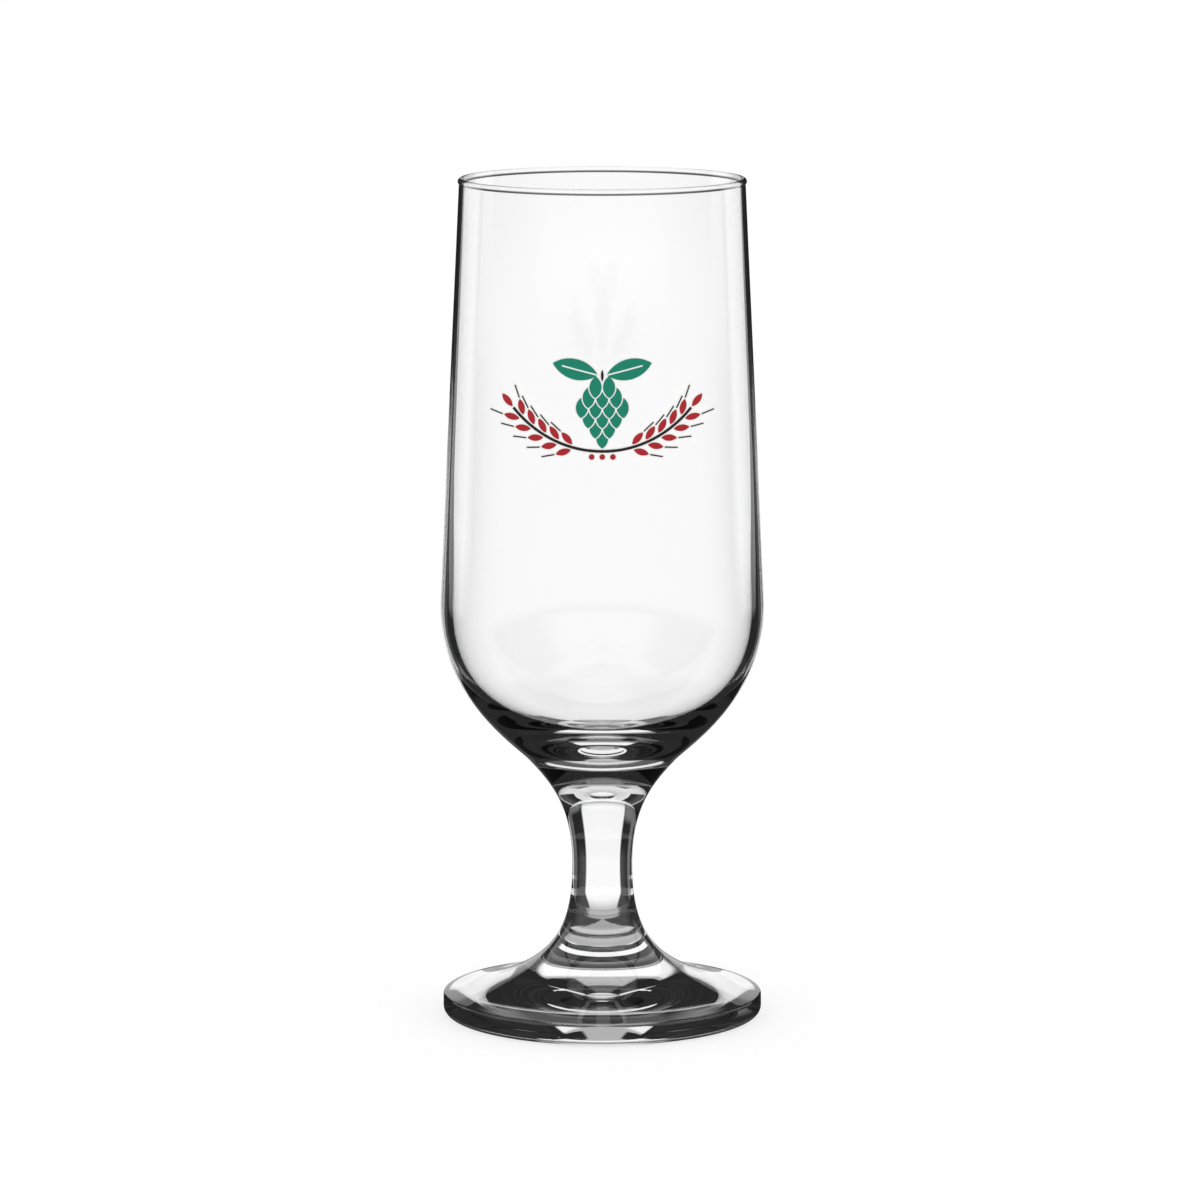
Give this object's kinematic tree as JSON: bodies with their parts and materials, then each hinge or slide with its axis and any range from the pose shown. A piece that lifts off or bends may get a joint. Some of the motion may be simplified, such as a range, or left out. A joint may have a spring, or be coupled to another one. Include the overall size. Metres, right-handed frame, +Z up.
{
  "type": "pilsner glass",
  "caption": "Stemmed pilsner glass with a tall, slightly tapered bowl on a waisted stem and a flared round foot, with a plain printed hop and barley emblem, for serving beer.",
  "frame": {"origin": "middle of the standing ring under the foot, on the surface that the glass stands on", "axes": "+Z up along the axis of the glass, -Y towards the printed emblem, +X to the emblem's right"},
  "size_m": [0.0714, 0.0714, 0.186],
  "materials": {
    "clear_glass": "clear, fire-polished",
    "white_ink": "fired screen print, gloss",
    "green_ink": "fired screen print, gloss",
    "red_ink": "fired screen print, gloss",
    "black_ink": "fired screen print, gloss"
  },
  "bodies": {
    "root": {"bowl": "clear_glass", "stem": "clear_glass", "foot": "clear_glass", "print_white": "white_ink", "print_green": "green_ink", "print_red": "red_ink", "print_black": "black_ink"}
  },
  "joints": []
}
